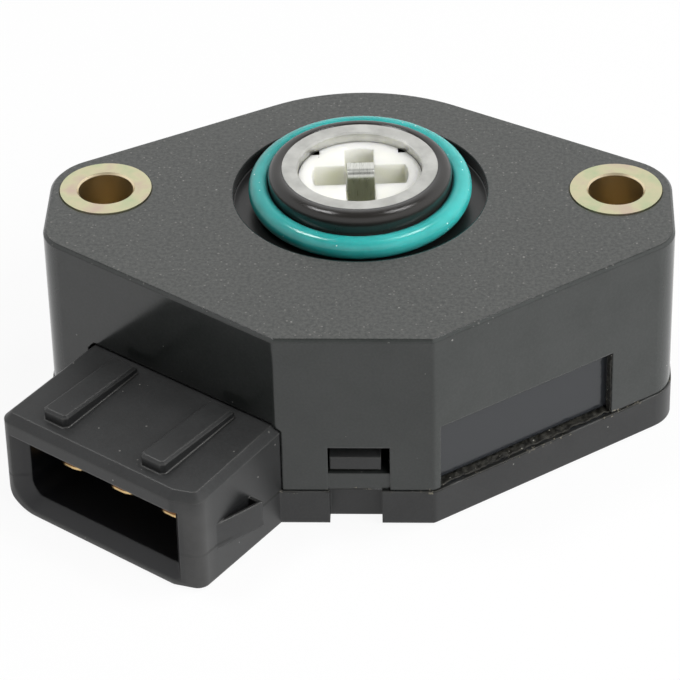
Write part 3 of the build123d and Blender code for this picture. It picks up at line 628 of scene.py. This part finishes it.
# %% Strip metal helper
def strip_metal(name, dark, light, smooth, rough, grain_across, lying, upright):
    """Rolled strip: two tones, sheen, the scale of its grain, and tints that paint shade on flat
    and on upright faces.
    """
    material, tree, shader = start_material(name)
    shader.inputs["Metallic"].default_value = 1.0
    place = put(tree, "ShaderNodeTexCoord")
    stretch = put(tree, "ShaderNodeMapping", {"Scale": grain_across})
    join(tree, place, "Object", stretch, "Vector")
    drawn = put(tree, "ShaderNodeTexNoise", {"Scale": 1.0, "Detail": 3.0, "Roughness": 0.6})
    join(tree, stretch, "Vector", drawn, "Vector")
    colour = two_tones(tree, (drawn, "Fac"), dark, light)
    facing = put(tree, "ShaderNodeNewGeometry")
    way = put(tree, "ShaderNodeSeparateXYZ")
    join(tree, facing, "Normal", way, "Vector")
    standing = map_range(tree, way, "Z", {"From Min": 0.62, "From Max": 0.30, "To Max": 1.0})
    # Painted shade: flat and upright faces each get their own darker tint.
    tint = two_tones(tree, (standing, "Result"), lying, upright)
    shaded = put(tree, "ShaderNodeMix", {"Factor": 1.0}, data_type="RGBA", blend_type="MULTIPLY")
    join(tree, colour, "Result", shaded, "A")
    join(tree, tint, "Result", shaded, "B")
    join(tree, shaded, "Result", shader, "Base Color")
    dull = map_range(tree, drawn, "Fac", {"To Min": smooth, "To Max": rough})
    join(tree, dull, "Result", shader, "Roughness")
    rounded = put(tree, "ShaderNodeBevel", {"Radius": 0.10 * MM}, samples=6)
    bump = put(tree, "ShaderNodeBump", {"Strength": 0.12, "Distance": 0.02 * MM})
    join(tree, drawn, "Fac", bump, "Height")
    join(tree, rounded, "Normal", bump, "Normal")
    join(tree, bump, "Normal", shader, "Normal")
    return material


# %% Spring clip
spring_steel = strip_metal(
    "spring_steel",
    dark=(0.52, 0.53, 0.48, 1),
    light=(0.92, 0.92, 0.87, 1),
    smooth=0.22,
    rough=0.36,
    grain_across=(9000.0, 700.0, 700.0),
    lying=(1.0, 1.0, 1.0, 1),
    # Painted shade: the clip's upright faces are darker and greener.
    upright=(0.40, 0.42, 0.35, 1),
)
dress(spring_steel, "drive_clip")

# %% Terminals
terminal_metal = strip_metal(
    "terminal_metal",
    dark=(0.56, 0.37, 0.16, 1),
    light=(0.74, 0.54, 0.28, 1),
    smooth=0.14,
    rough=0.26,
    grain_across=(2600.0, 900.0, 2600.0),
    # Painted shade: the terminals' flat faces are darker.
    lying=(0.42, 0.30, 0.24, 1),
    upright=(1.0, 1.0, 1.0, 1),
)
tree = terminal_metal.node_tree
shader = next(n for n in tree.nodes if n.type == "BSDF_PRINCIPLED")
plain = shader.inputs["Base Color"].links[0].from_socket
place = put(tree, "ShaderNodeTexCoord")
parts = put(tree, "ShaderNodeSeparateXYZ")
join(tree, place, "Object", parts, "Vector")
low_edge = map_range(tree, parts, "Z", {"From Min": -13.04 * MM, "From Max": -13.14 * MM})
tarnish = put(tree, "ShaderNodeMix", {"A": (0.16, 0.075, 0.03, 1)}, data_type="RGBA")
join(tree, low_edge, "Result", tarnish, "Factor")
tree.links.new(plain, tarnish.inputs["B"])
join(tree, tarnish, "Result", shader, "Base Color")
dress(terminal_metal, "terminal_1", "terminal_2", "terminal_3")

# %% Wiper and rivets
contact_metal = strip_metal(
    "contact_metal",
    dark=(0.66, 0.42, 0.22, 1),
    light=(0.80, 0.56, 0.32, 1),
    smooth=0.26,
    rough=0.42,
    grain_across=(900.0, 4000.0, 4000.0),
    lying=(1.0, 1.0, 1.0, 1),
    upright=(1.0, 1.0, 1.0, 1),
)
rivet_metal = strip_metal(
    "rivet_metal",
    dark=(0.60, 0.58, 0.52, 1),
    light=(0.76, 0.74, 0.68, 1),
    smooth=0.28,
    rough=0.44,
    grain_across=(2400.0, 2400.0, 2400.0),
    lying=(1.0, 1.0, 1.0, 1),
    upright=(1.0, 1.0, 1.0, 1),
)
dress(contact_metal, "wiper")
dress(rivet_metal, "board_rivets")

# %% [markdown]
# ## Rotor and ring
# The rotor is white acetal, a little creamy, with a touch of subsurface. Its colour is painted
# paler and creamier deeper in its socket as painted light against the socket's shade, and the
# notches in its rim are painted dark as shade. The sealing ring is teal rubber with a soft sheen,
# and lets some light through as well.

# %% Rotor finish
rotor_plastic, tree, shader = start_material("rotor_plastic")
shader.inputs["Subsurface Weight"].default_value = 0.8
shader.inputs["Subsurface Scale"].default_value = 2.0 * MM
shader.inputs["Subsurface Radius"].default_value = (1.0, 1.0, 0.85)
place = put(tree, "ShaderNodeTexCoord")
parts = put(tree, "ShaderNodeSeparateXYZ")
join(tree, place, "Object", parts, "Vector")
# Painted light: the colour turns paler and creamier deeper in the socket.
socket_lift = map_range(tree, parts, "Z", {"From Min": 1.5 * MM, "From Max": -2.6 * MM})
cream_lifted = two_tones(tree, (socket_lift, "Result"), (0.88, 0.88, 0.79, 1), (0.98, 0.975, 0.87, 1))
specks = use_group(tree, dust, {"Scale": 1500.0, "Share": 0.08, "Size": 0.14})
marked = lay_over(tree, (cream_lifted, "Result"), (specks, "Mask"), (0.30, 0.26, 0.20, 1))
around = use_group(tree, turned, {"Centre": 0.0, "Lines": 3000.0})
# Painted shade: the notches are painted nearly black.
outer = math_node(tree, "GREATER_THAN", (around, "Radius"), ROTOR_NOTCHES)
under_face = math_node(tree, "LESS_THAN", (parts, "Z"), ROTOR_FACE)
in_notch = math_node(tree, "MULTIPLY", (outer, "Value"), (under_face, "Value"))
shade_painted = lay_over(tree, (marked, "Result"), (in_notch, "Value"), (0.020, 0.018, 0.013, 1))
join(tree, shade_painted, "Result", shader, "Base Color")
skin = use_group(tree, grain, {"Fine": 3800.0, "Broad": 500.0})
sheen = map_range(tree, skin, "Tone", {"To Min": 0.36, "To Max": 0.50})
join(tree, sheen, "Result", shader, "Roughness")
rounded = put(tree, "ShaderNodeBevel", {"Radius": 0.16 * MM}, samples=6)
bump = put(tree, "ShaderNodeBump", {"Strength": 0.12, "Distance": 0.03 * MM})
join(tree, skin, "Height", bump, "Height")
join(tree, rounded, "Normal", bump, "Normal")
join(tree, bump, "Normal", shader, "Normal")
dress(rotor_plastic, "rotor")

# %% Ring rubber finish
ring_rubber, tree, shader = start_material("ring_rubber")
shader.inputs["Subsurface Weight"].default_value = 0.85
shader.inputs["Subsurface Scale"].default_value = 1.4 * MM
shader.inputs["Subsurface Radius"].default_value = (0.25, 1.0, 0.95)
skin = use_group(tree, grain, {"Fine": 3000.0, "Broad": 320.0})
colour = two_tones(tree, (skin, "Tone"), (0.030, 0.34, 0.325, 1), (0.050, 0.42, 0.405, 1))
specks = use_group(tree, dust, {"Scale": 1900.0, "Share": 0.26, "Size": 0.16})
dusty = lay_over(tree, (colour, "Result"), (specks, "Mask"), (0.55, 0.82, 0.80, 1))
join(tree, dusty, "Result", shader, "Base Color")
sheen = map_range(tree, skin, "Tone", {"To Min": 0.15, "To Max": 0.25})
join(tree, sheen, "Result", shader, "Roughness")
bump = put(tree, "ShaderNodeBump", {"Strength": 0.12, "Distance": 0.03 * MM})
join(tree, skin, "Height", bump, "Height")
join(tree, bump, "Normal", shader, "Normal")
dress(ring_rubber, "sealing_ring")

# %% [markdown]
# ## The sealing ring, smooth and round
# The solid ring has a plain eight-sided section. The real one is a soft rubber ring, round in
# section, stretched over the collar so that its inside lies flat, and resting askew with its
# back a little high. A circle is drawn as its section, cut flat on the collar's side and spun
# once round the axis, which keeps the seam easy to close. It is then tipped and lifted a little
# less than the solid ring is, because the round section touches the recess elsewhere.

# %% Modelling helpers
def begin(name):
    """Names the new primitive, bakes its place into the mesh and opens it for editing."""
    piece = bpy.context.active_object
    piece.name = name
    bpy.ops.object.transform_apply(location=True, rotation=True, scale=True)
    bpy.ops.object.mode_set(mode="EDIT")
    bpy.ops.mesh.select_all(action="SELECT")
    return piece


def turn_mesh(angle, axis, centre=(0, 0, 0)):
    """Turns what is selected; without a window the operator turns the other way."""
    bpy.ops.transform.rotate(value=-angle, orient_axis=axis, center_override=centre)


def hand_over(piece, finish, body):
    """Gives a finished piece its material and the body it moves with."""
    piece.data.materials.clear()
    piece.data.materials.append(finish)
    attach(piece, body)
    print(piece.name, len(piece.data.polygons), "faces")


# %% Sealing ring
section, ring_radius, ring_inside = 1.78 * MM, 7.86 * MM, 7.312 * MM
ring_tilt, ring_lift = radians(3.9), 0.337 * MM
bpy.ops.object.select_all(action="DESELECT")
bpy.ops.mesh.primitive_circle_add(
    vertices=44, radius=section / 2, location=(ring_radius, 0, 0), rotation=(pi / 2, 0, 0)
)
ring = begin("rubber_ring")
bpy.ops.mesh.bisect(plane_co=(ring_inside, 0, 0), plane_no=(1, 0, 0), clear_inner=True)
bpy.ops.mesh.edge_face_add()
bpy.ops.mesh.select_all(action="SELECT")
bpy.ops.mesh.spin(steps=180, angle=2 * pi, center=(0, 0, 0), axis=(0, 0, 1))
bpy.ops.mesh.select_all(action="SELECT")
bpy.ops.mesh.remove_doubles(threshold=1e-6)
bpy.ops.mesh.normals_make_consistent(inside=False)
turn_mesh(ring_tilt, "X")
bpy.ops.transform.translate(value=(0, 0, ring_lift))
bpy.ops.object.mode_set(mode="OBJECT")
bpy.ops.object.shade_smooth_by_angle(angle=radians(50))
hand_over(ring, ring_rubber, "housing")
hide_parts("sealing_ring")
back_high = max(v.co.z for v in ring.data.vertices if v.co.y > 0)
front_high = max(v.co.z for v in ring.data.vertices if v.co.y < 0)
print("ring back", round(back_high / MM, 2), "front", round(front_high / MM, 2))

# %% [markdown]
# ## Weld residue in the panel
# The cover is welded to the base, and some melt has crept out along the lower edge of the shallow
# panel and up its end. It is a rough black crust with pale crumbs in it. A fine grid is laid on
# the ledge, a Displace modifier with a clouds texture crumples it, and Solidify closes it, which
# is how a crust of no fixed shape is quickest to make.

# %% Residue finish
residue, tree, shader = start_material("weld_residue")
skin = use_group(tree, grain, {"Fine": 6000.0, "Broad": 1800.0})
colour = two_tones(tree, (skin, "Tone"), (0.006, 0.006, 0.005, 1), (0.030, 0.029, 0.024, 1))
specks = use_group(tree, dust, {"Scale": 4200.0, "Share": 0.20, "Size": 0.32})
crumbed = lay_over(tree, (colour, "Result"), (specks, "Mask"), (0.30, 0.29, 0.25, 1))
join(tree, crumbed, "Result", shader, "Base Color")
sheen = map_range(tree, skin, "Speckle", {"To Min": 0.55, "To Max": 0.85})
join(tree, sheen, "Result", shader, "Roughness")
bump = put(tree, "ShaderNodeBump", {"Strength": 0.6, "Distance": 0.08 * MM})
join(tree, skin, "Height", bump, "Height")
join(tree, bump, "Normal", shader, "Normal")
print("finish", residue.name)

# %% Crust helper
flank_start = Vector((6.0 * MM, -20.4 * MM, 0))
along_flank = Vector(FLANK_RUN)
into_flank = -Vector(FLANK_WAY)


def crust(name, cells, size, middle, upright, grain_size, rise, thickness):
    """A crumpled closed sheet on the right flank; its middle is along, into and above the flank."""
    bpy.ops.object.select_all(action="DESELECT")
    bpy.ops.mesh.primitive_grid_add(x_subdivisions=cells[0], y_subdivisions=cells[1], size=1.0)
    piece = begin(name)
    bpy.ops.transform.resize(value=(size[0], size[1], 1.0), center_override=(0, 0, 0))
    if upright:
        turn_mesh(-pi / 2, "Y")
    turn_mesh(SLANT, "Z")
    spot = flank_start + middle[0] * along_flank + middle[1] * into_flank
    spot += Vector((0, 0, middle[2]))
    bpy.ops.transform.translate(value=spot)
    bpy.ops.object.mode_set(mode="OBJECT")
    clouds = bpy.data.textures.new(name + "_clouds", "CLOUDS")
    clouds.noise_scale = grain_size
    clouds.noise_depth = 3
    crumple = piece.modifiers.new("crumple", "DISPLACE")
    crumple.texture = clouds
    crumple.texture_coords = "LOCAL"
    crumple.strength = rise
    crumple.mid_level = 0.5
    wall = piece.modifiers.new("wall", "SOLIDIFY")
    wall.thickness = thickness
    wall.offset = -1.0
    for modifier in ("crumple", "wall"):
        bpy.ops.object.modifier_apply(modifier=modifier)
    bpy.ops.object.shade_smooth()
    return piece


# %% Crust on the ledge and at the end
ledge_crust = crust(
    "ledge_crust",
    cells=(160, 10),
    size=(16.1 * MM, 1.0 * MM),
    middle=(8.75 * MM, 0.66 * MM, -13.78 * MM),
    upright=False,
    grain_size=0.45 * MM,
    rise=0.45 * MM,
    thickness=0.12 * MM,
)
hand_over(ledge_crust, residue, "housing")
end_crust = crust(
    "end_crust",
    cells=(64, 6),
    size=(5.5 * MM, 0.5 * MM),
    middle=(16.80 * MM, 0.34 * MM, -11.15 * MM),
    upright=True,
    grain_size=0.40 * MM,
    rise=0.30 * MM,
    thickness=0.10 * MM,
)
hand_over(end_crust, residue, "housing")

# %% [markdown]
# ## The board inside
# The resistor board is a brown laminate with dark tracks. They are flat layers, so they are drawn
# in the material by their distance from the axis.

# %% Resistor board finish
board_laminate, tree, shader = start_material("board_laminate")
lines = use_group(tree, turned, {"Centre": 0.0, "Lines": 3000.0})
skin = use_group(tree, grain, {"Fine": 2600.0, "Broad": 500.0})
laminate = two_tones(tree, (skin, "Tone"), (0.16, 0.09, 0.04, 1), (0.22, 0.13, 0.06, 1))
near_track = math_node(tree, "COMPARE", (lines, "Radius"), TRACK_RADIUS, TRACK_HALF)
tracked = lay_over(tree, (laminate, "Result"), (near_track, "Value"), (0.012, 0.012, 0.012, 1))
join(tree, tracked, "Result", shader, "Base Color")
sheen = map_range(tree, skin, "Tone", {"To Min": 0.48, "To Max": 0.62})
join(tree, sheen, "Result", shader, "Roughness")
bump = put(tree, "ShaderNodeBump", {"Strength": 0.2, "Distance": 0.03 * MM})
join(tree, skin, "Height", bump, "Height")
join(tree, bump, "Normal", shader, "Normal")
dress(board_laminate, "track_board")

# %% [markdown]
# ## Stage
# A product shot like this stands on white paper in a light tent. The floor is pale paper, and it
# shows pure white to the camera with a faint shadow. It lies a hair below the part, and is clear
# from behind, so the underside can be looked at too. The world is white where it is seen or
# mirrored, and a softer grey where it only lights.

# %% Paper floor
low_z = solid_box[0].z
bpy.ops.object.select_all(action="DESELECT")
bpy.ops.mesh.primitive_plane_add(size=3.0, location=(0, 0, low_z - 0.02 * MM))
floor = bpy.context.active_object
floor.name = "paper_floor"
paper, tree, shader = start_material("paper")
shader.inputs["Base Color"].default_value = (0.80, 0.80, 0.80, 1)
shader.inputs["Roughness"].default_value = 0.9
seen = put(tree, "ShaderNodeLightPath")
either = math_node(tree, "MAXIMUM", (seen, "Is Camera Ray"), (seen, "Is Glossy Ray"))
either_way = math_node(tree, "MAXIMUM", (either, "Value"), (seen, "Is Transmission Ray"))
share = math_node(tree, "MULTIPLY", (either_way, "Value"), 0.92)
glow = put(tree, "ShaderNodeEmission", {"Color": (1, 1, 1, 1), "Strength": 1.0})
blend = put(tree, "ShaderNodeMixShader")
join(tree, share, "Value", blend, "Fac")
join(tree, shader, "BSDF", blend, 1)
join(tree, glow, "Emission", blend, 2)
sheet_side = put(tree, "ShaderNodeNewGeometry")
see_through = put(tree, "ShaderNodeBsdfTransparent")
one_sided = put(tree, "ShaderNodeMixShader")
join(tree, sheet_side, "Backfacing", one_sided, "Fac")
join(tree, blend, "Shader", one_sided, 1)
join(tree, see_through, "BSDF", one_sided, 2)
paper_output = next(n for n in tree.nodes if n.type == "OUTPUT_MATERIAL")
join(tree, one_sided, "Shader", paper_output, "Surface")
floor.data.materials.append(paper)
print("floor at", round(low_z, 5))

# %% World
world = bpy.data.worlds.new("light_tent")
bpy.context.scene.world = world
world.use_nodes = True
tree = world.node_tree
tree.nodes.clear()
seen = put(tree, "ShaderNodeLightPath")
either = math_node(tree, "MAXIMUM", (seen, "Is Camera Ray"), (seen, "Is Glossy Ray"))
either_way = math_node(tree, "MAXIMUM", (either, "Value"), (seen, "Is Transmission Ray"))
lighting = put(tree, "ShaderNodeBackground", {"Color": (1, 1, 1, 1), "Strength": 0.07})
direction = put(tree, "ShaderNodeTexCoord")
height = put(tree, "ShaderNodeSeparateXYZ")
join(tree, direction, "Generated", height, "Vector")
ceiling = put(
    tree,
    "ShaderNodeMapRange",
    {"From Min": 0.66, "From Max": 0.86, "To Min": 1.0, "To Max": 0.16},
    interpolation_type="SMOOTHSTEP",
)
join(tree, height, "Z", ceiling, "Value")
backdrop = put(tree, "ShaderNodeBackground", {"Color": (1, 1, 1, 1)})
join(tree, ceiling, "Result", backdrop, "Strength")
blend = put(tree, "ShaderNodeMixShader")
join(tree, either_way, "Value", blend, "Fac")
join(tree, lighting, "Background", blend, 1)
join(tree, backdrop, "Background", blend, 2)
world_output = put(tree, "ShaderNodeOutputWorld")
join(tree, blend, "Shader", world_output, "Surface")
print("world", world.name)

# %% [markdown]
# ## Lights
# A large panel at the right and a fill at the front right light the flanks, which is why the left
# one stays dark. The polished flanks would mirror them as bright patches, so they don't show in
# reflections. Two small boxes overhead do, and give the ring its two gleams.

# %% Soft lights
def soft_light(name, place, target, size, power, mirrored):
    """A rectangular soft light that faces a point."""
    lamp = bpy.data.lights.new(name, "AREA")
    lamp.shape = "RECTANGLE"
    lamp.size, lamp.size_y = size
    lamp.energy = power
    holder = bpy.data.objects.new(name, lamp)
    bpy.context.scene.collection.objects.link(holder)
    holder.location = place
    holder.rotation_mode = "QUATERNION"
    holder.rotation_quaternion = (Vector(target) - Vector(place)).to_track_quat("-Z", "Y")
    holder.visible_glossy = mirrored
    print("light", name, power, "W")


LOW_MIDDLE, AXIS_FOOT = (0, 0, -6.0 * MM), (0, 0, 0)
soft_light(
    "right_panel", place=(0.54, -0.10, 0.26), target=LOW_MIDDLE,
    size=(0.60, 0.56), power=3.4, mirrored=False,
)
soft_light(
    "front_fill", place=(0.37, -0.37, 0.42), target=AXIS_FOOT,
    size=(0.40, 0.40), power=2.4, mirrored=False,
)
soft_light(
    "top_right_box", place=(0.19, 0.06, 0.48), target=AXIS_FOOT,
    size=(0.13, 0.13), power=0.75, mirrored=True,
)
soft_light(
    "top_left_box", place=(-0.19, 0.06, 0.48), target=AXIS_FOOT,
    size=(0.13, 0.13), power=0.90, mirrored=True,
)

# %% [markdown]
# ## Camera
# The camera stands where the photograph was taken: a little right of the middle, 35 degrees
# above the paper, with a long lens. Its place and turn come from matching the mounting holes
# and the collar, and the frame is square.

# %% Camera
turn, rise, roll = radians(2.670), radians(35.444), radians(-1.389)
camera_place = (0.009264, -0.238768, 0.155672)
sensor, focal_pixels, photo_pixels = 36.0, 3636.19, 680.0
back = Vector((sin(turn) * cos(rise), -cos(turn) * cos(rise), sin(rise)))
right = Vector((cos(turn), sin(turn), 0))
up = back.cross(right)
right_rolled = cos(roll) * right + sin(roll) * up
up_rolled = -sin(roll) * right + cos(roll) * up
view = bpy.data.cameras.new("photo_view")
view.sensor_width = sensor
view.lens = sensor * focal_pixels / photo_pixels
view.clip_start, view.clip_end = 0.01, 10.0
camera = bpy.data.objects.new("photo_view", view)
bpy.context.scene.collection.objects.link(camera)
axes = Matrix((right_rolled, up_rolled, back)).transposed().to_4x4()
camera.matrix_world = Matrix.Translation(camera_place) @ axes
bpy.context.scene.camera = camera
bpy.context.scene.view_settings.view_transform = "Standard"
print("camera lens", round(view.lens, 1), "mm")
